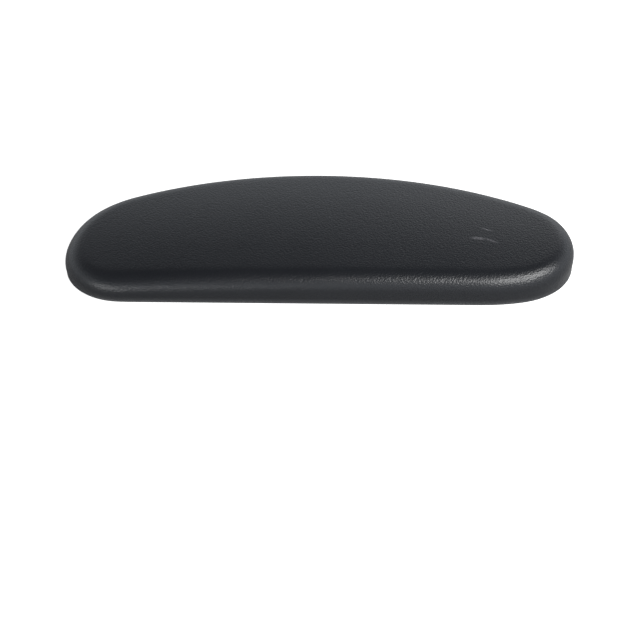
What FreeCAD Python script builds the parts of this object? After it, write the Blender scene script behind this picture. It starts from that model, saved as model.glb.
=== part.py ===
import FreeCAD, Part
import math
import os
import Sketcher
from FreeCAD import Vector

# Moulded polyurethane armrest pad for an office chair, in millimetres.
#
# X runs along the pad, Y across it, Z up. The straight edge faces -Y and the arched edge faces +Y.
# The origin is the middle of the underside, which is also the middle of the screw pattern.
#
# A ribbed nylon board with four tee nuts lies in the mould. The foam rises round it and forms its
# own dense skin against the mould, so the pieces are skin, core, board, nuts and the caps that
# keep the foam out of the threads.

DIMENSIONS = [
    # name, value, what it is
    ("pad_length", 265, "overall length, end to end"),
    ("pad_width", 98, "straight edge to the top of the arch"),
    ("pad_height", 20, "underside to the highest point of the crown"),
    ("crown_fall", 3, "fall of the crown from the middle to either long edge"),
    ("crown_peak_x", 40, "how far right of the middle the crown is highest"),
    ("crown_length_radius", 3500, "curve of the crown along the pad"),
    ("back_radius", 235, "arched edge"),
    ("arch_shift", 4, "how far left of the middle the arch is highest"),
    ("left_end_radius", 52, "rear quarter of the left end"),
    ("left_corner_radius", 30, "left end into the straight edge"),
    ("right_end_radius", 34, "right end"),
    ("right_corner_radius", 100, "right end into the straight edge"),
    ("top_edge_radius", 10, "bullnose round the top"),
    ("foot_edge_radius", 1.2, "small round under the parting line"),
    ("skin_thickness", 1.6, "dense skin of the moulding"),
    ("rim_width", 12, "skin between the foot edge and the board"),
    ("board_height", 7, "board, ribs included"),
    ("board_floor", 2.8, "flat of the board"),
    ("board_wall", 2.4, "wall round the board"),
    ("rib_thickness", 1.8, "ribs across and along the board"),
    ("rib_pitch", 25, "spacing of the cross ribs"),
    ("cross_rib_count", 9, "cross ribs, the middle one on the Y axis"),
    ("boss_diameter", 21, "boss under each tee nut"),
    ("key_hole_diameter", 9, "hole that the foam keys into"),
    ("key_hole_pitch", 50, "spacing of the keying holes along X"),
    ("screw_spacing_x", 100, "screw pattern along the pad"),
    ("screw_spacing_y", 42, "screw pattern across the pad"),
    ("thread_diameter", 6, "M6 thread of the tee nuts"),
    ("barrel_diameter", 8, "barrel of a tee nut"),
    ("flange_across_flats", 15, "hexagonal flange of a tee nut"),
    ("flange_thickness", 1.6, "flange of a tee nut"),
    ("cap_bore", 7.4, "inside of a nut cap"),
    ("cap_wall", 0.9, "wall of a nut cap"),
    ("cap_depth", 4.5, "room for the screw end inside a nut cap"),
    ("cap_foot_diameter", 12.4, "foot of a nut cap on the flange"),
]

# The five arcs of the outline, in order from the right end of the straight edge: the radius, and
# first guesses of the centre and of the degrees at its start and end. The constraints of the
# sketch then place each arc exactly.
OUTLINE_ARCS = [
    ("right_corner_radius", (83, 51), -90, -76),
    ("right_end_radius", (98.5, -13), -76, 59),
    ("back_radius", (-4, -186), 59, 115),
    ("left_end_radius", (-81, -19), 115, 177),
    ("left_corner_radius", (-102.5, -19), 177, 270),
]
# Where the tee nuts stand, as signs of X and Y, in the order of their numbers.
NUT_CORNERS = [(-1, -1), (1, -1), (1, 1), (-1, 1)]
KEY_HOLE_COUNT = 4
# Room round the pad for the region that the crown cuts away.
CROWN_MARGIN = 10.0

doc = FreeCAD.newDocument("armrest_pad")
sheet = doc.addObject("Spreadsheet::Sheet", "dims")
made = []


def fill_sheet():
    """Write the driving dimensions, one row each, with the name as the alias."""
    for row, (name, value, meaning) in enumerate(DIMENSIONS, start=1):
        sheet.set("A%d" % row, name)
        sheet.set("B%d" % row, str(value))
        sheet.set("C%d" % row, meaning)
        sheet.setAlias("B%d" % row, name)
    doc.recompute()


def size(name):
    """A driving dimension as a number, for first guesses and for counts."""
    return float(sheet.get(name))


def keep(piece):
    """Remember a finished sub-part, so that it is checked and written."""
    made.append(piece)
    return piece


def new_body(name):
    body = doc.addObject("PartDesign::Body", name)
    body.Label = name
    return body


def new_sketch(body, name, plane, lift=None):
    """A sketch on one of the body's own origin planes, lifted by an expression if one is given."""
    sketch = body.newObject("Sketcher::SketchObject", name)
    for feature in body.Origin.OriginFeatures:
        if feature.Role == plane:
            sketch.AttachmentSupport = (feature, "")
    sketch.MapMode = "FlatFace"
    if lift:
        sketch.setExpression("AttachmentOffset.Base.z", lift)
    return sketch


def bind(sketch, kind, arguments, value, name, formula):
    """Add a dimension to a sketch, name it and tie it to the sheet."""
    index = sketch.addConstraint(Sketcher.Constraint(kind, *arguments, value))
    sketch.renameConstraint(index, name)
    sketch.setExpression("Constraints." + name, formula)


def add_pad(body, sketch, name, length):
    pad = body.newObject("PartDesign::Pad", name)
    pad.Profile = sketch
    pad.setExpression("Length", length)
    sketch.Visibility = False
    return pad


def draw_outline(sketch, inset):
    """The pad's plan outline, moved inwards by the expression inset.

    It is a straight front line and five arcs, each tangent to the next: right corner, right end,
    back, left end and left corner. A parallel outline keeps every centre, so only the radii and
    the front line know about the inset.
    """
    half_length = size("pad_length") / 2
    half_width = size("pad_width") / 2
    first = sketch.GeometryCount
    line_end, line_start = OUTLINE_ARCS[0][1], OUTLINE_ARCS[-1][1]
    straight = Part.LineSegment(Vector(line_start[0], -half_width, 0),
                                Vector(line_end[0], -half_width, 0))
    sketch.addGeometry(straight, False)
    for name, centre, start, end in OUTLINE_ARCS:
        circle = Part.Circle(Vector(centre[0], centre[1], 0), Vector(0, 0, 1), size(name))
        arc = Part.ArcOfCircle(circle, math.radians(start), math.radians(end))
        sketch.addGeometry(arc, False)
    edge_count = len(OUTLINE_ARCS) + 1
    for step in range(edge_count):
        this_edge = first + step
        next_edge = first + (step + 1) % edge_count
        sketch.addConstraint(Sketcher.Constraint("Tangent", this_edge, 2, next_edge, 1))
    sketch.addConstraint(Sketcher.Constraint("Horizontal", first))
    for step, (name, centre, start, end) in enumerate(OUTLINE_ARCS, start=1):
        formula = "dims.%s - (%s)" % (name, inset)
        bind(sketch, "Radius", (first + step,), size(name), name, formula)
    right_end, back, left_corner = first + 2, first + 3, first + 5
    right = size("right_end_radius")
    left = size("left_corner_radius")
    bind(sketch, "DistanceY", (first, 1, -1, 1), half_width, "front",
         "dims.pad_width / 2 - (%s)" % inset)
    bind(sketch, "DistanceX", (-1, 1, right_end, 3), half_length - right, "right_centre",
         "dims.pad_length / 2 - dims.right_end_radius")
    bind(sketch, "DistanceX", (left_corner, 3, -1, 1), half_length - left, "left_centre",
         "dims.pad_length / 2 - dims.left_corner_radius")
    bind(sketch, "DistanceY", (back, 3, -1, 1), size("back_radius") - half_width,
         "back_centre", "dims.back_radius - dims.pad_width / 2")
    bind(sketch, "DistanceX", (back, 3, -1, 1), size("arch_shift"), "back_shift",
         "dims.arch_shift")


def outline_block(name, inset, height, lift="0"):
    """A body with the pad's outline, moved inwards by inset, from lift up by height."""
    body = new_body(name)
    sketch = new_sketch(body, name + "_outline", "XY_Plane", lift)
    draw_outline(sketch, inset)
    add_pad(body, sketch, name + "_block", height)
    return body


def crown_cut(body, name, inset):
    """Cut the top to the crown: an arc across the pad, turned about an axis far below it."""
    sketch = new_sketch(body, name + "_crown", "YZ_Plane", "dims.crown_peak_x")
    half = size("pad_width") / 2 + CROWN_MARGIN
    top = size("pad_height")
    roof = top + CROWN_MARGIN
    radius = (size("pad_width") / 2) ** 2 / (2 * size("crown_fall"))
    reach = math.asin(half / radius)
    circle = Part.Circle(Vector(0, top - radius, 0), Vector(0, 0, 1), radius)
    arc = Part.ArcOfCircle(circle, math.pi / 2 - reach, math.pi / 2 + reach)
    sketch.addGeometry(arc, False)
    corners = [arc.EndPoint, Vector(-half, roof, 0), Vector(half, roof, 0), arc.StartPoint]
    for start, end in zip(corners[:-1], corners[1:]):
        sketch.addGeometry(Part.LineSegment(start, end), False)
    for first, second in ((0, 1), (1, 2), (2, 3)):
        sketch.addConstraint(Sketcher.Constraint("Coincident", first, 2, second, 1))
    sketch.addConstraint(Sketcher.Constraint("Coincident", 3, 2, 0, 1))
    sketch.addConstraint(Sketcher.Constraint("Vertical", 1))
    sketch.addConstraint(Sketcher.Constraint("Horizontal", 2))
    sketch.addConstraint(Sketcher.Constraint("Vertical", 3))
    sketch.addConstraint(Sketcher.Constraint("PointOnObject", 0, 3, -2))
    across = "((dims.pad_width / 2) ^ 2 / (2 * dims.crown_fall))"
    bind(sketch, "Radius", (0,), radius, "crown_radius", "%s - (%s)" % (across, inset))
    bind(sketch, "DistanceY", (0, 3, -1, 1), radius - top, "crown_centre",
         across + " - dims.pad_height")
    margin = "%g" % CROWN_MARGIN
    bind(sketch, "DistanceX", (1, 2, -1, 1), half, "left_side", "dims.pad_width / 2 + " + margin)
    bind(sketch, "DistanceX", (-1, 1, 2, 2), half, "right_side", "dims.pad_width / 2 + " + margin)
    bind(sketch, "DistanceY", (-1, 1, 1, 2), roof, "roof", "dims.pad_height + " + margin)
    depth = size("crown_length_radius") - top
    axis = sketch.addGeometry(Part.LineSegment(Vector(0, -depth, 0), Vector(half, -depth, 0)), True)
    sketch.addConstraint(Sketcher.Constraint("Horizontal", axis))
    sketch.addConstraint(Sketcher.Constraint("PointOnObject", axis, 1, -2))
    bind(sketch, "DistanceX", (axis, 1, axis, 2), half, "axis_length",
         "dims.pad_width / 2 + " + margin)
    bind(sketch, "DistanceY", (axis, 1, -1, 1), depth, "axis_depth",
         "dims.crown_length_radius - dims.pad_height")
    groove = body.newObject("PartDesign::Groove", name + "_crown_cut")
    groove.Profile = sketch
    groove.ReferenceAxis = (sketch, ["Axis0"])
    groove.Midplane = True
    groove.setExpression("Angle", "2 * atan(dims.pad_length / dims.crown_length_radius)")
    sketch.Visibility = False
    doc.recompute()
    return groove


def edges_between(shape, low, high):
    """Names of the edges that lie wholly between two heights."""
    names = []
    for number, edge in enumerate(shape.Edges, start=1):
        box = edge.BoundBox
        if box.ZMin > low and box.ZMax < high:
            names.append("Edge%d" % number)
    return names


def round_edges(body, base, name, edges, radius):
    fillet = body.newObject("PartDesign::Fillet", name)
    fillet.Base = (base, edges)
    fillet.setExpression("Radius", radius)
    doc.recompute()
    return fillet


def outer_form():
    """The whole outside of the pad as one block."""
    body = outline_block("pad_form", "0", "dims.pad_height + 2")
    crown = crown_cut(body, "pad_form", "0")
    top = edges_between(crown.Shape, size("pad_height") / 2, size("pad_height") + 1)
    rounded = round_edges(body, crown, "bullnose", top, "dims.top_edge_radius")
    foot = edges_between(rounded.Shape, -0.01, 0.01)
    round_edges(body, rounded, "foot_round", foot, "dims.foot_edge_radius")
    return body


def core_form():
    """The space inside the skin, as one block."""
    skin = "dims.skin_thickness"
    body = outline_block("core_form", skin, "dims.pad_height + 2", skin)
    crown = crown_cut(body, "core_form", skin)
    top = edges_between(crown.Shape, size("pad_height") / 2, size("pad_height") + 1)
    round_edges(body, crown, "core_bullnose", top, "dims.top_edge_radius - " + skin)
    return body


def fuse(name, shapes):
    union = doc.addObject("Part::MultiFuse", name)
    union.Shapes = shapes
    return union


def cut(name, base, tool):
    """A sub-part or a step towards one: base with tool taken away."""
    result = doc.addObject("Part::Cut", name)
    result.Label = name
    result.Base = base
    result.Tool = tool
    return result


def cylinder(name, diameter, height, x="0", y="0", z="0"):
    """A standing cylinder whose sizes and place are formulas of the sheet."""
    post = doc.addObject("Part::Cylinder", name)
    post.setExpression("Radius", "(%s) / 2" % diameter)
    post.setExpression("Height", height)
    post.setExpression("Placement.Base.x", x)
    post.setExpression("Placement.Base.y", y)
    post.setExpression("Placement.Base.z", z)
    return post


def nut_place(corner):
    """Formulas for the axis of one tee nut."""
    sign_x, sign_y = corner
    return "%d * dims.screw_spacing_x / 2" % sign_x, "%d * dims.screw_spacing_y / 2" % sign_y


def hexagon_block(body, name, across_flats, thickness, lift):
    """A hexagonal plate on the body's Z axis with two flats square to Y."""
    sketch = new_sketch(body, name + "_hexagon", "XY_Plane", lift)
    corner = size("flange_across_flats") / math.sqrt(3)
    points = []
    for step in range(6):
        angle = math.radians(60 * step)
        points.append(Vector(corner * math.cos(angle), corner * math.sin(angle), 0))
    for start, end in zip(points, points[1:] + points[:1]):
        sketch.addGeometry(Part.LineSegment(start, end), False)
    circle = sketch.addGeometry(Part.Circle(Vector(0, 0, 0), Vector(0, 0, 1), corner), True)
    for side in range(6):
        sketch.addConstraint(Sketcher.Constraint("Coincident", side, 2, (side + 1) % 6, 1))
        sketch.addConstraint(Sketcher.Constraint("PointOnObject", side, 1, circle))
    for side in range(5):
        sketch.addConstraint(Sketcher.Constraint("Equal", side, side + 1))
    sketch.addConstraint(Sketcher.Constraint("Coincident", circle, 3, -1, 1))
    sketch.addConstraint(Sketcher.Constraint("PointOnObject", 0, 1, -1))
    bind(sketch, "Radius", (circle,), corner, "corner", "(%s) / sqrt(3)" % across_flats)
    return add_pad(body, sketch, name + "_plate", thickness)


def tee_nut(number, corner):
    """M6 tee nut: a barrel down to the underside and a hexagonal flange sunk in its boss."""
    name = "tee_nut_%d" % number
    body = new_body(name)
    seat = "dims.board_height - dims.flange_thickness"
    barrel_sketch = new_sketch(body, name + "_barrel_circle", "XY_Plane")
    radius = size("barrel_diameter") / 2
    barrel_sketch.addGeometry(Part.Circle(Vector(0, 0, 0), Vector(0, 0, 1), radius), False)
    barrel_sketch.addConstraint(Sketcher.Constraint("Coincident", 0, 3, -1, 1))
    bind(barrel_sketch, "Radius", (0,), radius, "barrel", "dims.barrel_diameter / 2")
    add_pad(body, barrel_sketch, name + "_barrel", "dims.board_height")
    hexagon_block(body, name, "dims.flange_across_flats", "dims.flange_thickness", seat)
    bore_sketch = new_sketch(body, name + "_bore_circle", "XY_Plane")
    thread = size("thread_diameter") / 2
    bore_sketch.addGeometry(Part.Circle(Vector(0, 0, 0), Vector(0, 0, 1), thread), False)
    bore_sketch.addConstraint(Sketcher.Constraint("Coincident", 0, 3, -1, 1))
    bind(bore_sketch, "Radius", (0,), thread, "thread", "dims.thread_diameter / 2")
    bore = body.newObject("PartDesign::Pocket", name + "_bore")
    bore.Profile = bore_sketch
    bore.Type = "ThroughAll"
    bore.Reversed = True
    bore_sketch.Visibility = False
    x, y = nut_place(corner)
    body.setExpression("Placement.Base.x", x)
    body.setExpression("Placement.Base.y", y)
    return keep(body)


def nut_cap(number, corner):
    """Soft cap on a tee nut: a foot ring and a closed cup over the screw's end, turned as one."""
    name = "nut_cap_%d" % number
    body = new_body(name)
    sketch = new_sketch(body, name + "_profile", "XZ_Plane")
    inner = size("cap_bore") / 2
    outer = inner + size("cap_wall")
    foot = size("cap_foot_diameter") / 2
    base = size("board_height")
    wall = size("cap_wall")
    depth = size("cap_depth")
    corners = [(inner, base), (foot, base), (foot, base + wall), (outer, base + wall),
               (outer, base + depth + wall), (0, base + depth + wall), (0, base + depth),
               (inner, base + depth)]
    points = [Vector(x, z, 0) for x, z in corners]
    for start, end in zip(points, points[1:] + points[:1]):
        sketch.addGeometry(Part.LineSegment(start, end), False)
    for side in range(8):
        sketch.addConstraint(Sketcher.Constraint("Coincident", side, 2, (side + 1) % 8, 1))
        direction = "Horizontal" if side % 2 == 0 else "Vertical"
        sketch.addConstraint(Sketcher.Constraint(direction, side))
    sketch.addConstraint(Sketcher.Constraint("PointOnObject", 5, 1, -2))
    bind(sketch, "DistanceX", (-1, 1, 0, 1), inner, "inner", "dims.cap_bore / 2")
    bind(sketch, "DistanceX", (-1, 1, 1, 1), foot, "foot", "dims.cap_foot_diameter / 2")
    bind(sketch, "DistanceX", (-1, 1, 3, 1), outer, "outer", "dims.cap_bore / 2 + dims.cap_wall")
    bind(sketch, "DistanceY", (-1, 1, 0, 1), base, "seat", "dims.board_height")
    bind(sketch, "DistanceY", (1, 1, 2, 1), wall, "foot_thickness", "dims.cap_wall")
    bind(sketch, "DistanceY", (0, 1, 6, 1), depth, "depth", "dims.cap_depth")
    bind(sketch, "DistanceY", (6, 1, 5, 1), wall, "roof_thickness", "dims.cap_wall")
    turned = body.newObject("PartDesign::Revolution", name + "_cup")
    turned.Profile = sketch
    turned.ReferenceAxis = (sketch, ["V_Axis"])
    turned.Angle = 360
    sketch.Visibility = False
    x, y = nut_place(corner)
    body.setExpression("Placement.Base.x", x)
    body.setExpression("Placement.Base.y", y)
    return keep(body)


def rib_grid():
    """Endless ribs, later trimmed to the board: cross ribs at one pitch and one under each row."""
    ribs = []
    pitch = "dims.rib_pitch"
    count = int(size("cross_rib_count"))
    for number in range(count):
        step = number - (count - 1) // 2
        rib = doc.addObject("Part::Box", "cross_rib_%d" % (number + 1))
        rib.setExpression("Length", "dims.rib_thickness")
        rib.setExpression("Width", "dims.pad_width")
        rib.setExpression("Placement.Base.x", "%d * %s - dims.rib_thickness / 2" % (step, pitch))
        rib.setExpression("Placement.Base.y", "-dims.pad_width / 2")
        ribs.append(rib)
    for sign, name in ((-1, "front_rib"), (1, "back_rib")):
        rib = doc.addObject("Part::Box", name)
        rib.setExpression("Length", "dims.pad_length")
        rib.setExpression("Width", "dims.rib_thickness")
        rib.setExpression("Placement.Base.x", "-dims.pad_length / 2")
        rib.setExpression("Placement.Base.y",
                          "%d * dims.screw_spacing_y / 2 - dims.rib_thickness / 2" % sign)
        ribs.append(rib)
    for rib in ribs:
        rib.setExpression("Height", "dims.board_height - dims.board_floor")
        rib.setExpression("Placement.Base.z", "dims.board_floor")
    return fuse("rib_grid", ribs)


def insert_board():
    """Ribbed nylon board, flat below, with a wall round it, four bosses and the keying holes."""
    blank = outline_block("board_blank", "dims.rim_width", "dims.board_height")
    hollow = outline_block("board_hollow", "dims.rim_width + dims.board_wall",
                           "dims.board_height", "dims.board_floor")
    tray = cut("board_tray", blank, hollow)
    stiffening = [rib_grid()]
    holes = []
    for number, corner in enumerate(NUT_CORNERS, start=1):
        x, y = nut_place(corner)
        stiffening.append(cylinder("boss_%d" % number, "dims.boss_diameter",
                                   "dims.board_height", x, y))
        holes.append(cylinder("barrel_hole_%d" % number, "dims.barrel_diameter",
                              "dims.board_height + 2", x, y, "-1"))
        recess = new_body("flange_recess_%d" % number)
        hexagon_block(recess, "flange_recess_%d" % number, "dims.flange_across_flats",
                      "dims.flange_thickness + 1", "dims.board_height - dims.flange_thickness")
        recess.setExpression("Placement.Base.x", x)
        recess.setExpression("Placement.Base.y", y)
        holes.append(recess)
    for number in range(KEY_HOLE_COUNT):
        step = number - (KEY_HOLE_COUNT - 1) / 2
        holes.append(cylinder("key_hole_%d" % (number + 1), "dims.key_hole_diameter",
                              "dims.board_floor + 2", "%g * dims.key_hole_pitch" % step,
                              "0", "-1"))
    trimmed = doc.addObject("Part::Common", "trimmed_stiffening")
    trimmed.Base = fuse("ribs_and_bosses", stiffening)
    trimmed.Tool = blank
    return keep(cut("insert_board", fuse("board_solid", [tray, trimmed]),
                    fuse("board_holes", holes)))


def build():
    fill_sheet()
    outside = outer_form()
    inside = core_form()
    window = outline_block("board_window", "dims.rim_width", "dims.skin_thickness + 1")
    cavity = fuse("mould_cavity", [inside, window])
    keep(cut("pu_skin", outside, cavity))
    board = insert_board()
    filled = [board]
    for number, corner in enumerate(NUT_CORNERS, start=1):
        filled.append(tee_nut(number, corner))
        filled.append(nut_cap(number, corner))
        x, y = nut_place(corner)
        filled.append(cylinder("screw_room_%d" % number, "dims.thread_diameter",
                               "dims.board_height + 1", x, y))
        filled.append(cylinder("cap_room_%d" % number, "dims.cap_bore", "dims.cap_depth",
                               x, y, "dims.board_height"))
    keep(cut("foam_core", cavity, fuse("foam_displacers", filled)))
    doc.recompute()


def check():
    """Stop if any object failed or any sub-part isn't one sound solid."""
    for item in doc.Objects:
        if "Invalid" in item.State or "Error" in item.State:
            raise RuntimeError("%s: %s" % (item.Label, item.State))
    for piece in made:
        shape = piece.Shape
        if shape.isNull() or not shape.isValid() or len(shape.Solids) != 1:
            raise RuntimeError("%s isn't one sound solid" % piece.Label)
        middle = shape.Solids[0].CenterOfMass
        print("%-14s %9.0f mm3, its middle %.1f mm up" % (piece.Label, shape.Volume, middle.z))


def write():
    os.makedirs("parts", exist_ok=True)
    for piece in made:
        piece.Shape.exportStep("parts/%s.step" % piece.Label)


build()
check()
write()
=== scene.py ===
# %% [markdown]
# # A moulded armrest pad for an office chair
# The pad is self-skinning polyurethane. Foam is poured into a grained mould round a ribbed nylon
# board, and where it meets the cool mould wall it turns into a dense black skin. The design
# model gives the place and size of every piece. Here they get their looks: the skin with its
# bullnose, parting line and grain, the foam, the board, the tee nuts and their threads.

# %% Load the fixed frame
import math

import bmesh
import bpy
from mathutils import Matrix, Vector


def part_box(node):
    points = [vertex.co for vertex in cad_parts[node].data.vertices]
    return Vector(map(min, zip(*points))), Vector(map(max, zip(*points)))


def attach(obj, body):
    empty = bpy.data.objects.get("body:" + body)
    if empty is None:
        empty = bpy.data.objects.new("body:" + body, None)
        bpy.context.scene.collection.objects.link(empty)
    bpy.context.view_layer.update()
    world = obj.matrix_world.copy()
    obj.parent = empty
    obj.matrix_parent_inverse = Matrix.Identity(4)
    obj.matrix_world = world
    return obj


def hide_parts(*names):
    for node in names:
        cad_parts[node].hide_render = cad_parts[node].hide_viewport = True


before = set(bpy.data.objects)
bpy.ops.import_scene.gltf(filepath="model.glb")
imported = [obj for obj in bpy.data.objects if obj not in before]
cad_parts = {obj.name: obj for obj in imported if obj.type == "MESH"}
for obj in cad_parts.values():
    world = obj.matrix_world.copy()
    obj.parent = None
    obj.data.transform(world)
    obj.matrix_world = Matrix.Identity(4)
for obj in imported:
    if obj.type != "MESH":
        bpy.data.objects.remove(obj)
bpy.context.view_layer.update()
MM = 0.001
low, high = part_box("pu_skin")
pad_length = high.x - low.x
pad_width = high.y - low.y
pad_height = high.z

# %% [markdown]
# ## The outline seen from above
# The pad is a D: one straight edge and five arcs, each running into the next with no corner. A
# polygon with soft corners would show flats in the long highlight, and a spline through a few
# points would wander, so the arcs are true arcs. The centre of each follows from its radius and
# from the circles that it touches, as a draughtsman would find it with compasses.

# %% Centres of the five arcs
BACK_RADIUS = 235 * MM
ARCH_SHIFT = 4 * MM
LEFT_END_RADIUS = 52 * MM
LEFT_CORNER_RADIUS = 30 * MM
RIGHT_END_RADIUS = 34 * MM
RIGHT_CORNER_RADIUS = 100 * MM


def meeting_point(centre_a, reach_a, centre_b, reach_b):
    """Where two circles cross, on the left of the way from a to b."""
    across = centre_b - centre_a
    gap = across.length
    along = (gap ** 2 + reach_a ** 2 - reach_b ** 2) / (2 * gap)
    aside = math.sqrt(reach_a ** 2 - along ** 2)
    unit = across / gap
    return centre_a + unit * along + Vector((-unit.y, unit.x)) * aside


front = -pad_width / 2
back_centre = Vector((-ARCH_SHIFT, pad_width / 2 - BACK_RADIUS))
left_corner = Vector((LEFT_CORNER_RADIUS - pad_length / 2, front + LEFT_CORNER_RADIUS))
left_end = meeting_point(left_corner, LEFT_END_RADIUS - LEFT_CORNER_RADIUS,
                         back_centre, BACK_RADIUS - LEFT_END_RADIUS)
end_x = pad_length / 2 - RIGHT_END_RADIUS
end_rise = math.sqrt((BACK_RADIUS - RIGHT_END_RADIUS) ** 2 - (end_x + ARCH_SHIFT) ** 2)
right_end = Vector((end_x, back_centre.y + end_rise))
corner_y = front + RIGHT_CORNER_RADIUS
corner_reach = RIGHT_CORNER_RADIUS - RIGHT_END_RADIUS
corner_run = math.sqrt(corner_reach ** 2 - (right_end.y - corner_y) ** 2)
right_corner = Vector((right_end.x - corner_run, corner_y))
print("left end centre in mm: %.1f, %.1f" % (left_end.x / MM, left_end.y / MM))

# %% [markdown]
# ## Arcs and straight runs
# The outline will be walked like a path. Each run of it, an arc or the straight edge, is a
# length and a rule that gives the point and the outward normal at any share of the way. The
# length of an arc is taken a little inside the outline, on the shoulder of the top, where evenly
# spaced points matter most.

# %% Arcs and straight runs
PACE_INSET = 12 * MM


def angle_from(big, small):
    """Direction, in degrees, in which a big circle touches a smaller one inside it."""
    way = small - big
    return math.degrees(math.atan2(way.y, way.x))


def arc(centre, radius, start, end):
    """Length of an arc at the pacing inset, and a function from 0 to 1 along it."""
    def at(share):
        angle = math.radians(start + (end - start) * share)
        normal = Vector((math.cos(angle), math.sin(angle)))
        return centre + normal * radius, normal
    return (radius - PACE_INSET) * math.radians(end - start), at


def straight(start, end):
    """Length of a straight run along the front, and a function from 0 to 1 along it."""
    def at(share):
        return start.lerp(end, share), Vector((0, -1))
    return (end - start).length, at


corner_to_end = angle_from(right_corner, right_end)
end_to_back = angle_from(back_centre, right_end)
back_to_end = angle_from(back_centre, left_end)
end_to_corner = angle_from(left_end, left_corner)
print("the arch runs from %.1f to %.1f degrees" % (end_to_back, back_to_end))

# %% [markdown]
# ## Stations round the outline
# The skin is laid out like a boat's hull: stations stand round the outline, and each has one
# column of points from the foot to the top. Each of the four sides has a fixed number of
# stations, because the same points later close the top with a plain grid. The sides meet where
# the outline heads along a diagonal, so the corners of that grid fall in the rounds. Spacing by
# angle would be shorter to write, but it would crowd the stations into the tight corners.

# %% Walk round the outline
LONG_STEPS = 44
END_STEPS = 12


def along(side, count):
    """Stations evenly spaced along one side, each a point and its outward normal."""
    total = sum(length for length, at in side)
    found = []
    for step in range(count):
        left = total * step / count
        for length, at in side:
            if left <= length:
                found.append(at(left / length))
                break
            left -= length
    return found


front_side = [
    arc(left_corner, LEFT_CORNER_RADIUS, -135, -90),
    straight(Vector((left_corner.x, front)), Vector((right_corner.x, front))),
    arc(right_corner, RIGHT_CORNER_RADIUS, -90, corner_to_end),
    arc(right_end, RIGHT_END_RADIUS, corner_to_end, -45),
]
right_side = [arc(right_end, RIGHT_END_RADIUS, -45, 45)]
back_side = [
    arc(right_end, RIGHT_END_RADIUS, 45, end_to_back),
    arc(back_centre, BACK_RADIUS, end_to_back, back_to_end),
    arc(left_end, LEFT_END_RADIUS, back_to_end, 135),
]
left_side = [
    arc(left_end, LEFT_END_RADIUS, 135, end_to_corner),
    arc(left_corner, LEFT_CORNER_RADIUS, end_to_corner, 225),
]
stations = (along(front_side, LONG_STEPS) + along(right_side, END_STEPS)
            + along(back_side, LONG_STEPS) + along(left_side, END_STEPS))
print(len(stations), "stations round the pad")

# %% [markdown]
# ## The crown
# The top isn't flat. It falls a few millimetres from the middle to the long edges, and more
# slowly towards the ends, the left end most. A big doughnut has just that shape: a short radius
# across, a long one along. Its height has a formula, and so does any surface parallel to it,
# which the inside of the skin and the middle of the bullnose need.

# %% Height of the crown
CROWN_FALL = 3 * MM
CROWN_PEAK_X = 40 * MM
CROWN_LENGTH_RADIUS = 3500 * MM
crown_across_radius = (pad_width / 2) ** 2 / (2 * CROWN_FALL)


def crown(x, y, depth=0.0):
    """Height of the crown, or of the surface that lies parallel to it at a depth."""
    bow = math.sqrt((crown_across_radius - depth) ** 2 - y ** 2)
    reach = CROWN_LENGTH_RADIUS - crown_across_radius + bow
    return pad_height - CROWN_LENGTH_RADIUS + math.sqrt(reach ** 2 - (x - CROWN_PEAK_X) ** 2)


print("crown at the left end, middle and right end in mm: %.1f, %.1f, %.1f"
      % tuple(crown(x, 0) / MM for x in (low.x, 0, high.x)))

# %% [markdown]
# ## Columns of the skin
# A column is a list of insets and heights. The outer one starts inside the lip at the board,
# crosses the rim of the underside, turns the small round of the foot and meets the parting
# line: a thin ridge of flash where the mould's two halves closed, trimmed but still felt. Above
# it the wall leans out a little and runs into the bullnose, where the pad is widest. A hard
# part would be caught in the mould by that, but this one is soft enough to spring out. The
# inner column follows at the thickness of the skin.

# %% Outer and inner columns
BULLNOSE_RADIUS = 10 * MM
SKIN = 1.6 * MM
RIM = 11.9 * MM
PARTING_HEIGHT = 1.4 * MM
BULLNOSE_STEPS = 7
# Three short profiles in millimetres: out from the lip and up, in from the outline and up, and
# out from the top of the foot and up from the parting line.
LIP_ROUND = [(0, 1.2), (0, 0.4), (0.3, 0.06), (0.9, 0)]
FOOT_ROUND = [(3, 0), (1.7, 0.02), (1.0, 0.3), (0.75, 0.8)]
PARTING_RIDGE = [(0, -0.25), (0.30, -0.10), (0.30, 0.10), (0.10, 0.28)]
RIM_MIDDLE = 7 * MM
FOOT_INSET = 0.70 * MM
WALL_FOOT = (0.5 * MM, 2.2 * MM)
WALL_MIDDLE_INSET = 0.25 * MM
INNER_FOOT = 3.2 * MM
INNER_TURN = 2.1 * MM


def bullnose(point, normal, radius, depth):
    """Arc from the wall to the crown for a ball of this radius, as insets and heights."""
    reach = radius + depth
    ball = point - normal * reach
    height = crown(ball.x, ball.y, reach)
    nudge = ball - normal * MM
    slope = (crown(nudge.x, nudge.y) - crown(ball.x, ball.y)) / MM
    last = math.pi / 2 - math.atan(slope)
    found = []
    for step in range(BULLNOSE_STEPS + 1):
        angle = last * step / BULLNOSE_STEPS
        found.append((reach - radius * math.cos(angle), height + radius * math.sin(angle)))
    return found


def outer_column(point, normal):
    """Lip, rim, foot, parting line, wall and bullnose."""
    lip = [(RIM - out * MM, height * MM) for out, height in LIP_ROUND]
    foot = [(RIM_MIDDLE, 0)] + [(inset * MM, height * MM) for inset, height in FOOT_ROUND]
    ridge = [(FOOT_INSET - out * MM, PARTING_HEIGHT + up * MM) for out, up in PARTING_RIDGE]
    nose = bullnose(point, normal, BULLNOSE_RADIUS, 0)
    wall = [WALL_FOOT, (WALL_MIDDLE_INSET, (WALL_FOOT[1] + nose[0][1]) / 2)]
    return lip + foot + ridge + wall + nose


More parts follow.
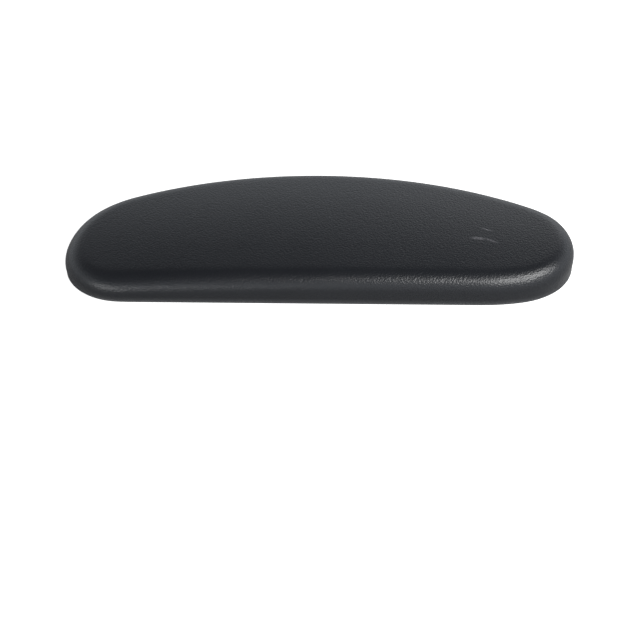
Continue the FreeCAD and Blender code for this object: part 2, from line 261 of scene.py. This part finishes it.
def inner_column(point, normal):
    """The same walk one skin thickness further in."""
    floor = [(RIM, SKIN), (RIM_MIDDLE, SKIN), (INNER_FOOT, SKIN), (INNER_TURN, INNER_TURN)]
    return floor + bullnose(point, normal, BULLNOSE_RADIUS - SKIN, SKIN)


print("points in a column: %d outside, %d inside"
      % (len(outer_column(*stations[0])), len(inner_column(*stations[0]))))

# %% [markdown]
# ## Rings of faces
# The same point of every column makes a ring, and four-sided faces join each ring to the next,
# like the hoops and staves of a barrel. A few more rings carry the faces over the shoulder of
# the top. They could be left out, but then the grid that closes the top would have to start on
# the bullnose, where every uneven face shows.

# %% Rings from the columns
TOP_INSETS = (13 * MM, 19 * MM, 26 * MM)


def join_rings(bm, lower, upper):
    """A band of four-sided faces between two rings."""
    count = len(lower)
    for place in range(count):
        after = (place + 1) % count
        bm.faces.new((lower[place], lower[after], upper[after], upper[place]))


def lay_rings(bm, column_of, depth):
    """Rings of faces from the columns, then the top's inner rings. Returns all the rings."""
    columns = [column_of(point, normal) for point, normal in stations]
    rings = []
    for row in range(len(columns[0])):
        ring = []
        for (point, normal), column in zip(stations, columns):
            inset, height = column[row]
            place = point - normal * inset
            ring.append(bm.verts.new((place.x, place.y, height)))
        rings.append(ring)
    for inset in TOP_INSETS:
        ring = []
        for point, normal in stations:
            place = point - normal * inset
            ring.append(bm.verts.new((place.x, place.y, crown(place.x, place.y, depth))))
        rings.append(ring)
    for lower, upper in zip(rings[:-1], rings[1:]):
        join_rings(bm, lower, upper)
    return rings


bm = bmesh.new()
outside = lay_rings(bm, outer_column, 0)
inside = lay_rings(bm, inner_column, SKIN)
join_rings(bm, outside[0], inside[0])
print("rings: %d outside, %d inside" % (len(outside), len(inside)))

# %% [markdown]
# ## A grid that closes the top
# The hole in the middle is closed with rows that run from the straight edge to the arch. A fan
# of triangles would be simpler, but its pole would pinch the highlight. Each point of the grid
# is mixed from the four sides of the hole, which is called a Coons patch, and then lifted to the
# height of the crown.

# %% Close the top


def close_top(bm, ring, depth):
    """Fill the last ring with a grid that runs across the pad."""
    across = END_STEPS
    length = LONG_STEPS
    count = len(ring)
    rows = {}
    for step in range(length + 1):
        rows[step, 0] = ring[step]
        rows[step, across] = ring[(length * 2 + across - step) % count]
    for step in range(across + 1):
        rows[length, step] = ring[length + step]
        rows[0, step] = ring[(count - step) % count]
    corners = [rows[0, 0].co, rows[length, 0].co, rows[0, across].co, rows[length, across].co]
    for i in range(1, length):
        for j in range(1, across):
            u = i / length
            v = j / across
            rails = rows[i, 0].co * (1 - v) + rows[i, across].co * v
            ends = rows[0, j].co * (1 - u) + rows[length, j].co * u
            flat = ((corners[0] * (1 - u) + corners[1] * u) * (1 - v)
                    + (corners[2] * (1 - u) + corners[3] * u) * v)
            place = rails + ends - flat
            rows[i, j] = bm.verts.new((place.x, place.y, crown(place.x, place.y, depth)))
    for i in range(length):
        for j in range(across):
            bm.faces.new((rows[i, j], rows[i + 1, j], rows[i + 1, j + 1], rows[i, j + 1]))


close_top(bm, outside[-1], 0)
close_top(bm, inside[-1], SKIN)
open_edges = sum(1 for edge in bm.edges if len(edge.link_faces) != 2)
print("open edges:", open_edges)

# %% [markdown]
# ## The skin as one closed shell
# Outside and inside meet at the lip, so the shell is closed and has its real thickness. Two
# levels of subdivision take the last facets out of the cage. The modifier stays live, so the
# cage can still be edited by hand.

# %% Finish the skin
SKIN_LEVELS = 2


def finish_mesh(bm, name):
    """Turn the faces outwards and make an object at the origin, shaded smooth."""
    bmesh.ops.recalc_face_normals(bm, faces=bm.faces)
    mesh = bpy.data.meshes.new(name)
    bm.to_mesh(mesh)
    bm.free()
    mesh.shade_smooth()
    made = bpy.data.objects.new(name, mesh)
    bpy.context.scene.collection.objects.link(made)
    return made


skin = finish_mesh(bm, "grained_skin")
rounding = skin.modifiers.new("rounding", "SUBSURF")
rounding.levels = SKIN_LEVELS
rounding.render_levels = SKIN_LEVELS
print("skin cage: %d faces" % len(skin.data.polygons))

# %% [markdown]
# ## The foam core
# The foam fills everything that the skin, the board and the nuts leave free, ribs and keying
# holes included, so its shape is the design model's own. A straight copy would have knife
# edges, and foam never does. A copy is merged, since the design mesh is loose triangles, then
# rebuilt in small cells, smoothed and drawn in by a hair, as foam shrinks when it cools.

# %% Copy, rebuild and soften the foam
FOAM_CELL = 1.0 * MM
FOAM_SHRINK = 0.15 * MM
SMOOTHING_PASSES = 2
SAME_POINT = 0.001 * MM


def apply_stack(piece):
    """Turn a piece's modifiers into its mesh."""
    graph = bpy.context.evaluated_depsgraph_get()
    result = bpy.data.meshes.new_from_object(piece.evaluated_get(graph))
    piece.modifiers.clear()
    piece.data = result


bm = bmesh.new()
bm.from_mesh(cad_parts["foam_core"].data)
bmesh.ops.remove_doubles(bm, verts=bm.verts, dist=SAME_POINT)
foam = finish_mesh(bm, "foam_filling")
cells = foam.modifiers.new("cells", "REMESH")
cells.mode = "VOXEL"
cells.voxel_size = FOAM_CELL
soften = foam.modifiers.new("soften", "SMOOTH")
soften.factor = 0.5
soften.iterations = SMOOTHING_PASSES
shrink = foam.modifiers.new("shrink", "DISPLACE")
shrink.strength = -FOAM_SHRINK
shrink.mid_level = 0
apply_stack(foam)
foam.data.shade_smooth()
print("foam: %d faces" % len(foam.data.polygons))

# %% [markdown]
# ## Threads in the tee nuts
# The design model leaves the threads out, as designers do. From below they show, so each nut
# gets a real one: M6, one millimetre of pitch, the ridge half a millimetre high. The Screw
# modifier turns a small profile round the axis while it climbs. The profile stands at +X and
# its corners run from top to bottom, or the thread comes out inside out. The two open ends are
# closed afterwards, because a real ridge is solid.

# %% Turn four threads
THREAD_RADIUS = 3.0 * MM
THREAD_PITCH = 1.0 * MM
THREAD_DEPTH = 0.5 * MM
THREAD_LEAD_IN = 0.6 * MM
THREAD_STEPS = 32
# The root of the ridge is sunk a hair into the wall of the bore, so that no gap shows.
THREAD_SINK = 0.03 * MM
# Half the width of the ridge at its root and at its crest, in pitches.
ROOT_HALF = 0.44
CREST_HALF = 0.06


def turn_thread(number):
    """One thread, turned on the axis and then moved into its nut."""
    corner_low, corner_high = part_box("tee_nut_%d" % number)
    centre = (corner_low + corner_high) / 2
    turns = int((corner_high.z - corner_low.z - 2 * THREAD_LEAD_IN) / THREAD_PITCH)
    root = THREAD_RADIUS + THREAD_SINK
    crest = THREAD_RADIUS - THREAD_DEPTH
    profile = [(root, ROOT_HALF), (root, -ROOT_HALF), (crest, -CREST_HALF), (crest, CREST_HALF)]
    mesh = bpy.data.meshes.new("thread_profile")
    points = [(x, 0, THREAD_LEAD_IN + z * THREAD_PITCH) for x, z in profile]
    edges = [(0, 3), (3, 2), (2, 1), (1, 0)]
    mesh.from_pydata(points, edges, [])
    piece = bpy.data.objects.new("tee_nut_thread_%d" % number, mesh)
    bpy.context.scene.collection.objects.link(piece)
    screw = piece.modifiers.new("turn", "SCREW")
    screw.angle = math.tau
    screw.screw_offset = THREAD_PITCH
    screw.iterations = turns
    screw.steps = THREAD_STEPS
    screw.render_steps = THREAD_STEPS
    apply_stack(piece)
    bm = bmesh.new()
    bm.from_mesh(piece.data)
    bmesh.ops.remove_doubles(bm, verts=bm.verts, dist=SAME_POINT)
    loose = [edge for edge in bm.edges if len(edge.link_faces) == 1]
    bmesh.ops.holes_fill(bm, edges=loose, sides=4)
    bmesh.ops.recalc_face_normals(bm, faces=bm.faces)
    bmesh.ops.translate(bm, verts=bm.verts, vec=Vector((centre.x, centre.y, corner_low.z)))
    bm.to_mesh(piece.data)
    bm.free()
    return piece


threads = [turn_thread(number) for number in range(1, 5)]
print("threads:", [len(piece.data.polygons) for piece in threads], "faces")

# %% [markdown]
# ## Helpers for the materials
# Colours are written as sRGB hex, the way a colour card gives them, and turned to linear light
# once. One function adds a node with its settings and links, so that each finish reads as a
# short list of what it does.

# %% Colour and node helpers
# The Mix node has a set of sockets for each kind of data, with the same names in every set. Its
# colour sockets are therefore reached by number: the factor, colours A and B, and the result.
FACTOR, COLOUR_A, COLOUR_B, MIXED = 0, 6, 7, 2


def linear(code):
    """An sRGB hex colour as linear red, green, blue and alpha."""
    channels = [int(code[place:place + 2], 16) / 255 for place in (1, 3, 5)]
    bright = [c / 12.92 if c <= 0.04045 else ((c + 0.055) / 1.055) ** 2.4 for c in channels]
    return (*bright, 1.0)


def set_inputs(owner, node, inputs):
    """Set each input of a node to a value, or link it to another node's output."""
    for name, value in dict(inputs).items():
        if isinstance(value, bpy.types.NodeSocket):
            owner.node_tree.links.new(value, node.inputs[name])
        else:
            node.inputs[name].default_value = value


def add_node(owner, kind, settings=(), inputs=()):
    """A node in a material or a world, with its settings and with values or links."""
    node = owner.node_tree.nodes.new(kind)
    for name, value in dict(settings).items():
        setattr(node, name, value)
    set_inputs(owner, node, inputs)
    return node


def new_material(name):
    """An empty node material and its Principled shader, already joined to the output."""
    material = bpy.data.materials.new(name)
    material.use_nodes = True
    material.node_tree.nodes.clear()
    shader = add_node(material, "ShaderNodeBsdfPrincipled")
    add_node(material, "ShaderNodeOutputMaterial", (), {"Surface": shader.outputs["BSDF"]})
    return material, shader


def scale_for(size):
    """Scale of a texture on Object coordinates for a feature of this size in metres."""
    return 1.0 / size


def paint(piece, material):
    """Give a piece this one material. A design model's piece keeps its mesh."""
    piece.data.materials.clear()
    piece.data.materials.append(material)


print("half grey on a colour card is %.3f in linear light" % linear("#808080")[0])

# %% [markdown]
# ## Black self-skinned polyurethane
# The skin copies the mould, and the mould is etched with a fine leather grain: pebbles about a
# millimetre across with soft valleys between them, and a still finer tooth on top that takes
# the shine down to satin. The colour is a cool black with almost no pattern of its own. What
# the eye reads is light caught by the pebbles, so most of the work is bump and roughness.
# Polyurethane bends light about as much as any clear plastic, an IOR of 1.5. Two things break
# the even black: a few pale scuffs where an arm has worn the pad, and a paler band low on the
# wall, a painted reflection of the pale floor that the wall would mirror there.

# %% Skin material
# The pebbles are a little longer than wide and lie aslant. The tooth is finer on the real skin
# and is drawn as coarse as it has to be to show. The gloss drifts slowly, over a blotch.
PEBBLE = 0.8 * MM
PEBBLE_STRETCH = 1.25
PEBBLE_SLANT = 35.0
PEBBLE_HEIGHT = 0.1 * MM
TOOTH = 0.35 * MM
TOOTH_HEIGHT = 0.03 * MM
BLOTCH = 30 * MM
# Painted reflection of the floor on the lower wall: gone above the first height, full below the
# second.
PAINTED_REFLECTION_TOP = 4.0 * MM
PAINTED_REFLECTION_FULL = 1.0 * MM
# How far a face looks down, from -1 at the underside: no painted reflection below the first,
# all of it above the second.
LOOKS_DOWN = -0.9
LOOKS_ASIDE = -0.6
WEAR_DEPTH = 5 * MM
# Where each mark lies, its half length and half width, in millimetres, and the degrees it is
# turned.
WEAR = [
    ((86.4, -8.8), (4.8, 0.6), -24),
    ((81.8, -16.4), (5.0, 1.5), -5),
    ((88.5, -18.0), (5.0, 0.8), -30),
    ((89.6, -28.2), (0.35, 0.35), 0),
    ((5.2, 0.9), (0.3, 0.3), 0),
    ((-47.2, -35.6), (0.35, 0.3), 0),
    ((-70.4, -38.4), (0.35, 0.3), 0),
]


def wear_mask(material, place):
    """White where the skin is marked, black elsewhere: one soft spot for each mark."""
    mask = None
    for (x, y), (half_length, half_width), angle in WEAR:
        local = add_node(material, "ShaderNodeMapping", {"vector_type": "TEXTURE"},
                         {"Vector": place, "Location": (x * MM, y * MM, pad_height),
                          "Rotation": (0, 0, math.radians(angle)),
                          "Scale": (half_length * MM, half_width * MM, WEAR_DEPTH)})
        spot = add_node(material, "ShaderNodeTexGradient", {"gradient_type": "SPHERICAL"},
                        {"Vector": local.outputs["Vector"]}).outputs["Fac"]
        if mask is not None:
            spot = add_node(material, "ShaderNodeMath", {"operation": "MAXIMUM"},
                            {0: mask, 1: spot}).outputs[0]
        mask = spot
    return mask


def painted_floor_reflection_mask(material):
    """Painted floor reflection: white on a low band of the wall, fading upwards, black
    underneath.
    """
    sockets = add_node(material, "ShaderNodeTexCoord").outputs
    place = add_node(material, "ShaderNodeSeparateXYZ", (), {"Vector": sockets["Object"]})
    facing = add_node(material, "ShaderNodeSeparateXYZ", (), {"Vector": sockets["Normal"]})
    band = add_node(material, "ShaderNodeMapRange", (),
                    {"Value": place.outputs["Z"], "From Min": PAINTED_REFLECTION_TOP, "From Max": PAINTED_REFLECTION_FULL})
    side = add_node(material, "ShaderNodeMapRange", (),
                    {"Value": facing.outputs["Z"], "From Min": LOOKS_DOWN,
                     "From Max": LOOKS_ASIDE})
    return add_node(material, "ShaderNodeMath", {"operation": "MULTIPLY"},
                    {0: band.outputs["Result"], 1: side.outputs["Result"]}).outputs[0]


def make_skin_material():
    """Etched leather grain: broken, satin light on a cool black."""
    material, shader = new_material("self_skinned_polyurethane_leather_grain")
    place = add_node(material, "ShaderNodeTexCoord").outputs["Object"]
    slanted = add_node(material, "ShaderNodeMapping", {"vector_type": "TEXTURE"},
                       {"Vector": place, "Rotation": (0, 0, math.radians(PEBBLE_SLANT)),
                        "Scale": (PEBBLE_STRETCH, 1.0, 1.0)})
    pebbles = add_node(material, "ShaderNodeTexVoronoi", {"feature": "SMOOTH_F1"},
                       {"Vector": slanted.outputs["Vector"], "Scale": scale_for(PEBBLE),
                        "Smoothness": 0.5})
    tooth = add_node(material, "ShaderNodeTexNoise", (),
                     {"Vector": place, "Scale": scale_for(TOOTH), "Detail": 3.0})
    blotch = add_node(material, "ShaderNodeTexNoise", (),
                      {"Vector": place, "Scale": scale_for(BLOTCH), "Detail": 2.0})
    grain = add_node(material, "ShaderNodeBump", {"invert": True},
                     {"Height": pebbles.outputs["Distance"], "Strength": 1.0,
                      "Distance": PEBBLE_HEIGHT})
    surface = add_node(material, "ShaderNodeBump", (),
                       {"Height": tooth.outputs["Fac"], "Strength": 1.0,
                        "Distance": TOOTH_HEIGHT, "Normal": grain.outputs["Normal"]})
    colour = add_node(material, "ShaderNodeMix", {"data_type": "RGBA"},
                      {FACTOR: blotch.outputs["Fac"],
                       COLOUR_A: linear("#121418"), COLOUR_B: linear("#16181c")})
    worn = add_node(material, "ShaderNodeMath", {"operation": "MULTIPLY"},
                    {0: wear_mask(material, place), 1: pebbles.outputs["Distance"]})
    marked = add_node(material, "ShaderNodeMix", {"data_type": "RGBA"},
                      {FACTOR: worn.outputs[0],
                       COLOUR_A: colour.outputs[MIXED], COLOUR_B: linear("#77767a")})
    # Painted reflection: the lower wall is made paler where it would mirror the pale floor.
    with_painted_reflection = add_node(material, "ShaderNodeMix", {"data_type": "RGBA"},
                       {FACTOR: painted_floor_reflection_mask(material),
                        COLOUR_A: marked.outputs[MIXED], COLOUR_B: linear("#38393b")})
    rough = add_node(material, "ShaderNodeMapRange", (),
                     {"Value": blotch.outputs["Fac"], "To Min": 0.29, "To Max": 0.36})
    set_inputs(material, shader, {
        "Base Color": with_painted_reflection.outputs[MIXED],
        "Roughness": rough.outputs["Result"],
        "IOR": 1.5,
        "Normal": surface.outputs["Normal"],
    })
    return material


skin_material = make_skin_material()
paint(skin, skin_material)
print("skin material: %d nodes, %d marks of wear"
      % (len(skin_material.node_tree.nodes), len(WEAR)))

# %% [markdown]
# ## Semi-rigid foam
# The foam shows only in the board's keying holes. It rises a little through them and is trimmed
# level, so it is dark grey and quite matt, with open cells about half a millimetre across. The
# cells could be modelled as holes; at this size a pattern dents them and paints shade in the
# pits.

# %% Foam material
FOAM_PORE = 0.6 * MM
PORE_DEPTH = 0.2 * MM


def make_foam_material():
    """Open cells: matt, with dented pits and painted shade in them."""
    material, shader = new_material("semi_rigid_polyurethane_foam")
    place = add_node(material, "ShaderNodeTexCoord").outputs["Object"]
    cells = add_node(material, "ShaderNodeTexVoronoi", {"feature": "F1"},
                     {"Vector": place, "Scale": scale_for(FOAM_PORE)})
    # Painted shade: dark at the middle of each cell, where the bump sinks its pit.
    colour = add_node(material, "ShaderNodeMix", {"data_type": "RGBA"},
                      {FACTOR: cells.outputs["Distance"],
                       COLOUR_A: linear("#2b2b2e"), COLOUR_B: linear("#56565a")})
    bump = add_node(material, "ShaderNodeBump", (),
                    {"Height": cells.outputs["Distance"], "Strength": 0.8,
                     "Distance": PORE_DEPTH})
    set_inputs(material, shader, {"Base Color": colour.outputs[MIXED], "Roughness": 0.85,
                                  "Normal": bump.outputs["Normal"]})
    return material


paint(foam, make_foam_material())
print("foam cells of %.1f mm" % (FOAM_PORE / MM))

# %% [markdown]
# ## Glass-filled nylon
# The board is injection moulded from black nylon with short glass fibres in it. Nylon's IOR is
# 1.53. The melt drags the fibres along, and where they reach the surface they leave a faint
# swirl that is duller than the rest, with a fine texture of fibre ends on top.

# %% Nylon material
SWIRL = 9 * MM
# Glass fibres are only about 0.01 mm thick. Their marks are drawn coarser, or none would show.
FIBRE = 0.35 * MM
FIBRE_HEIGHT = 0.02 * MM


def make_nylon_material():
    """Moulded black nylon: satin in some places, duller in others."""
    material, shader = new_material("glass_filled_nylon_moulded")
    place = add_node(material, "ShaderNodeTexCoord").outputs["Object"]
    swirl = add_node(material, "ShaderNodeTexNoise", (),
                     {"Vector": place, "Scale": scale_for(SWIRL), "Detail": 6.0,
                      "Distortion": 1.5})
    fibre = add_node(material, "ShaderNodeTexNoise", (),
                     {"Vector": place, "Scale": scale_for(FIBRE), "Detail": 2.0})
    colour = add_node(material, "ShaderNodeMix", {"data_type": "RGBA"},
                      {FACTOR: swirl.outputs["Fac"],
                       COLOUR_A: linear("#1d1e1f"), COLOUR_B: linear("#2a2b2c")})
    rough = add_node(material, "ShaderNodeMapRange", (),
                     {"Value": swirl.outputs["Fac"], "To Min": 0.38, "To Max": 0.58})
    bump = add_node(material, "ShaderNodeBump", (),
                    {"Height": fibre.outputs["Fac"], "Strength": 0.4, "Distance": FIBRE_HEIGHT})
    set_inputs(material, shader, {"Base Color": colour.outputs[MIXED],
                                  "Roughness": rough.outputs["Result"], "IOR": 1.53,
                                  "Normal": bump.outputs["Normal"]})
    return material


paint(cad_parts["insert_board"], make_nylon_material())
print("board painted, swirls of %.0f mm" % (SWIRL / MM))

# %% [markdown]
# ## Bright zinc and natural polyethylene
# The nuts are steel that was plated in a bath of zinc. The crystals grow unevenly, so the metal
# is bright with a slight bloom, and the bloom changes both the colour and the gloss. The caps
# are polyethylene with no pigment: milky and waxy, with light that spreads a little inside them.

# %% Zinc and polyethylene materials
ZINC_BLOOM = 2 * MM
WAX_HAZE = 3 * MM
WAX_DEPTH = 1.0 * MM


def make_zinc_material():
    """Zinc plating: a bright metal with a cloudy bloom."""
    material, shader = new_material("bright_zinc_plated_steel")
    place = add_node(material, "ShaderNodeTexCoord").outputs["Object"]
    bloom = add_node(material, "ShaderNodeTexNoise", (),
                     {"Vector": place, "Scale": scale_for(ZINC_BLOOM), "Detail": 4.0})
    colour = add_node(material, "ShaderNodeMix", {"data_type": "RGBA"},
                      {FACTOR: bloom.outputs["Fac"],
                       COLOUR_A: linear("#a9adb2"), COLOUR_B: linear("#cdd0d2")})
    rough = add_node(material, "ShaderNodeMapRange", (),
                     {"Value": bloom.outputs["Fac"], "To Min": 0.22, "To Max": 0.38})
    set_inputs(material, shader, {"Base Color": colour.outputs[MIXED], "Metallic": 1.0,
                                  "Roughness": rough.outputs["Result"]})
    return material


def make_cap_material():
    """Moulded polyethylene: milky, waxy and softly lit from inside."""
    material, shader = new_material("natural_polyethylene_moulded")
    place = add_node(material, "ShaderNodeTexCoord").outputs["Object"]
    haze = add_node(material, "ShaderNodeTexNoise", (),
                    {"Vector": place, "Scale": scale_for(WAX_HAZE), "Detail": 3.0})
    colour = add_node(material, "ShaderNodeMix", {"data_type": "RGBA"},
                      {FACTOR: haze.outputs["Fac"],
                       COLOUR_A: linear("#cfcdc2"), COLOUR_B: linear("#e2e0d8")})
    set_inputs(material, shader, {"Base Color": colour.outputs[MIXED], "Roughness": 0.45,
                                  "Subsurface Weight": 0.2, "Subsurface Scale": WAX_DEPTH})
    return material


zinc = make_zinc_material()
cap = make_cap_material()
for number, thread in enumerate(threads, start=1):
    paint(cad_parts["tee_nut_%d" % number], zinc)
    paint(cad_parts["nut_cap_%d" % number], cap)
    paint(thread, zinc)
print("painted %d nuts with their threads and caps" % len(threads))

# %% [markdown]
# ## Ties to the design model
# Nothing on this pad moves, so every piece rides on the one body. The skin and the foam stand
# for the design model's plain solids, which are hidden; the foam fills its skin completely. The
# threads are only added: the nuts stay the design model's own.

# %% Ride and replace
new_pieces = [skin, foam] + threads
for piece in new_pieces:
    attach(piece, "root")
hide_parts("pu_skin")
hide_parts("foam_core")
print("%d new pieces ride on the root body" % len(new_pieces))

# %% [markdown]
# ## A sweep of white paper
# The pad lies on plain paper that burns out to white, as in a catalogue. White paper under
# strong light would do that too, but it would throw the light back up on the dark walls.
# So the paper glows for the camera alone and reflects only as much as a grey one.

# %% Floor
FLOOR_SIZE = 6.0
FLOOR_GAP = 0.02 * MM
FLOOR_GLOW = 0.95

bpy.ops.mesh.primitive_plane_add(size=FLOOR_SIZE, location=(0, 0, -FLOOR_GAP))
floor = bpy.context.object
floor.name = "paper_sweep"
paper, paper_shader = new_material("white_paper_sweep")
seen = add_node(paper, "ShaderNodeLightPath").outputs["Is Camera Ray"]
glow = add_node(paper, "ShaderNodeMath", {"operation": "MULTIPLY"},
                {0: seen, 1: FLOOR_GLOW})
set_inputs(paper, paper_shader, {"Base Color": linear("#b6b6b6"), "Roughness": 0.9,
                                 "Emission Color": linear("#ffffff"),
                                 "Emission Strength": glow.outputs[0]})
paint(floor, paper)
print("floor of %.0f m, %.2f mm under the pad" % (FLOOR_SIZE, FLOOR_GAP / MM))

# %% [markdown]
# ## Soft lights
# A black satin object is lit by what it mirrors. The long highlight on the bullnose is the
# mirror image of one large soft light, high at the front right, and it grades off because the
# light doesn't reach as far as the left end. A low strip at the front left draws the faint
# second line on the wall, and a weak light behind separates the back edge. Larger lights would
# be simpler, but then the whole edge would shine evenly.

# %% Lights
# Name, place and target in metres, width and height in metres, power in watts.
SOFT_LIGHTS = [
    ("front_right", (0.48, -0.41, 0.54), (0.09, -0.04, 0), 0.76, 0.28, 8.0),
    ("front_left_low", (-0.48, -0.68, 0.08), (-0.1, -0.05, 0), 0.6, 0.15, 1.4),
    ("back_right", (0.45, 1.1, 0.6), (0.1, 0, 0), 0.6, 0.6, 0.6),
]


def soft_light(name, place, target, width, height, power):
    """A rectangular soft light turned to face a target."""
    data = bpy.data.lights.new(name, "AREA")
    data.shape = "RECTANGLE"
    data.size = width
    data.size_y = height
    data.energy = power
    light = bpy.data.objects.new(name, data)
    light.location = place
    light.rotation_mode = "QUATERNION"
    light.rotation_quaternion = (Vector(target) - Vector(place)).to_track_quat("-Z", "Y")
    bpy.context.scene.collection.objects.link(light)
    return light


for settings in SOFT_LIGHTS:
    soft_light(*settings)
print("soft lights:", [settings[0] for settings in SOFT_LIGHTS])

# %% [markdown]
# ## The room round it
# The room fills in what the soft lights leave. It is bright near the horizon, which greys the
# walls and the far part of the top, and dark overhead, which keeps the near part deep black. A
# room of one brightness is the easy way, and it makes black plastic look like grey card.

# %% Room
ROOM_LOW = 0.2
ROOM_HIGH = 0.8

world = bpy.data.worlds.new("studio")
world.use_nodes = True
world.node_tree.nodes.clear()
direction = add_node(world, "ShaderNodeTexCoord").outputs["Generated"]
split = add_node(world, "ShaderNodeSeparateXYZ", (), {"Vector": direction})
ramp = add_node(world, "ShaderNodeValToRGB", (), {"Fac": split.outputs["Z"]})
ramp.color_ramp.interpolation = "EASE"
horizon, overhead = ramp.color_ramp.elements
horizon.position = ROOM_LOW
horizon.color = linear("#f4f9ff")
overhead.position = ROOM_HIGH
overhead.color = linear("#616163")
sky = add_node(world, "ShaderNodeBackground", (),
               {"Color": ramp.outputs["Color"], "Strength": 1.0})
add_node(world, "ShaderNodeOutputWorld", (), {"Surface": sky.outputs["Background"]})
bpy.context.scene.world = world
bpy.context.scene.view_settings.view_transform = "Standard"
print("room: bright below %.0f degrees, dark above %.0f degrees"
      % (math.degrees(math.asin(ROOM_LOW)), math.degrees(math.asin(ROOM_HIGH))))

# %% [markdown]
# ## The camera
# A long lens at arm's length looks down at the pad from in front. It sees the top and the front
# wall together, and the length keeps the ends from spreading. It is tipped down a few degrees
# further than the middle of the pad, so that the pad stands in the upper half of the frame.

# %% Camera
# Angles in degrees, lens in millimetres on the usual 36 mm sensor.
VIEW_ELEVATION = 36.2
VIEW_AZIMUTH = 0.85
VIEW_DISTANCE = 0.9
VIEW_DROP = 2.88
LENS = 95.8
AIM_HEIGHT = 9 * MM

aim = Vector((0, 0, AIM_HEIGHT))
tilt = math.radians(VIEW_ELEVATION)
turn = math.radians(VIEW_AZIMUTH)
back = Vector((math.sin(turn) * math.cos(tilt), -math.cos(turn) * math.cos(tilt), math.sin(tilt)))
camera_data = bpy.data.cameras.new("camera")
camera_data.lens = LENS
camera = bpy.data.objects.new("camera", camera_data)
camera.location = aim + back * VIEW_DISTANCE
camera.rotation_euler = (math.radians(90 - VIEW_ELEVATION - VIEW_DROP), 0, turn)
bpy.context.scene.collection.objects.link(camera)
bpy.context.scene.camera = camera
print("camera at", [round(c, 3) for c in camera.location])
